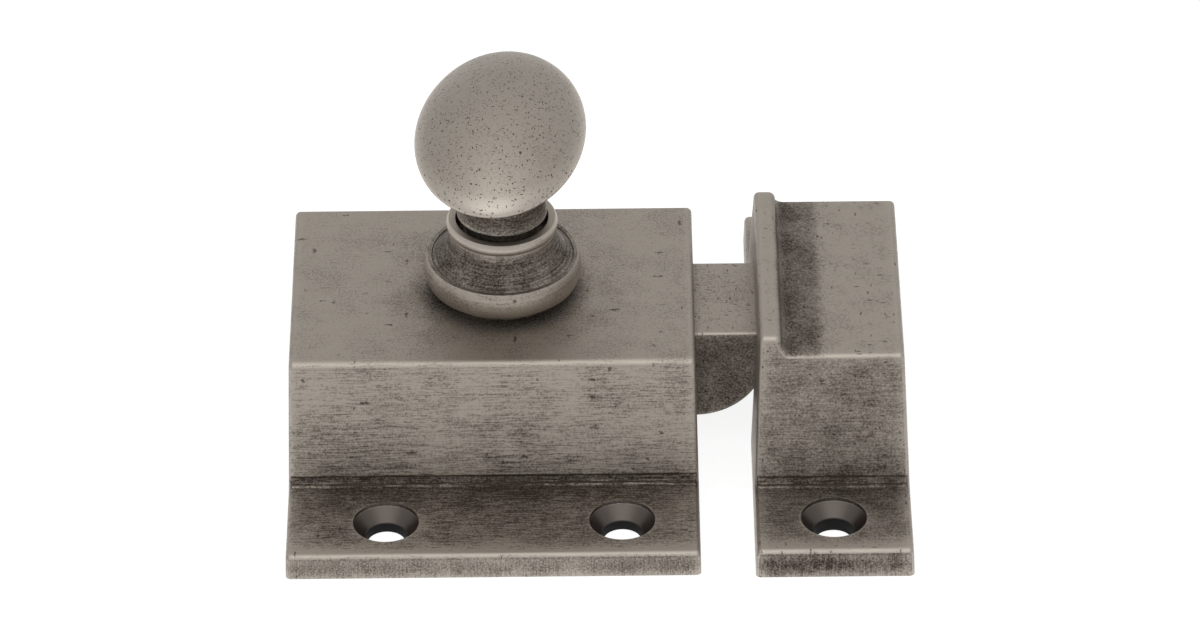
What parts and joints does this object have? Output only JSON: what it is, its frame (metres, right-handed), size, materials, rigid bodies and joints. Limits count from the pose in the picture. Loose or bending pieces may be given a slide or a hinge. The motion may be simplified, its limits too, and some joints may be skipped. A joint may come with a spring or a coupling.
{
  "type": "cupboard catch latch",
  "caption": "Surface-mounted cupboard latch: hat-shaped cast case with an oval turn knob, a spring bolt with a rounded nose, and a matching keeper with a strike ridge.",
  "frame": {"origin": "on the knob's axis at the mounting face, in the middle of the case's four screw holes", "axes": "+Z out of the door along the knob's axis, +X the way the bolt is thrown, towards the keeper, +Y towards the back of the picture"},
  "size_m": [0.0768, 0.0736, 0.0461],
  "materials": {
    "aged_pewter": "aged pewter on a casting, brushed, with dark patina in the hollows and worn bright edges",
    "bolt_pewter": "aged pewter on a casting, rubbed lighter on top",
    "bright_steel": "turned steel",
    "spring_steel": "drawn spring wire",
    "washer_brass": "plain brass",
    "sheet_steel": "plain sheet"
  },
  "bodies": {
    "fixed_set": {"latch_case": "aged_pewter", "collar": "aged_pewter", "thrust_washer": "washer_brass", "back_plate": "sheet_steel", "back_plate_screws": "bright_steel", "bolt_spring": "spring_steel", "keeper": "aged_pewter"},
    "turning_knob": {"knob": "aged_pewter", "spindle": "bright_steel", "retaining_ring": "spring_steel", "cam": "bright_steel", "cam_washer": "bright_steel", "cam_screw": "bright_steel"},
    "sliding_bolt": {"latch_bolt": "bolt_pewter", "spring_guide_pin": "bright_steel"}
  },
  "joints": [
    {"name": "knob_turn", "type": "hinge", "parent": "fixed_set", "child": "turning_knob", "pos_m": [0, 0, 0.0185], "axis": [0, 0, -1], "range_deg": [0, 90]},
    {"name": "bolt_slide", "type": "slide", "parent": "fixed_set", "child": "sliding_bolt", "axis": [-1, 0, 0], "range_m": [0, 0.00799], "stiffness_N_per_m": 300, "springref_m": -0.007, "deforming": ["bolt_spring"]}
  ],
  "couplings": [
    {"joint": "knob_turn", "follows": "bolt_slide", "rad_per_m": 196.35}
  ]
}
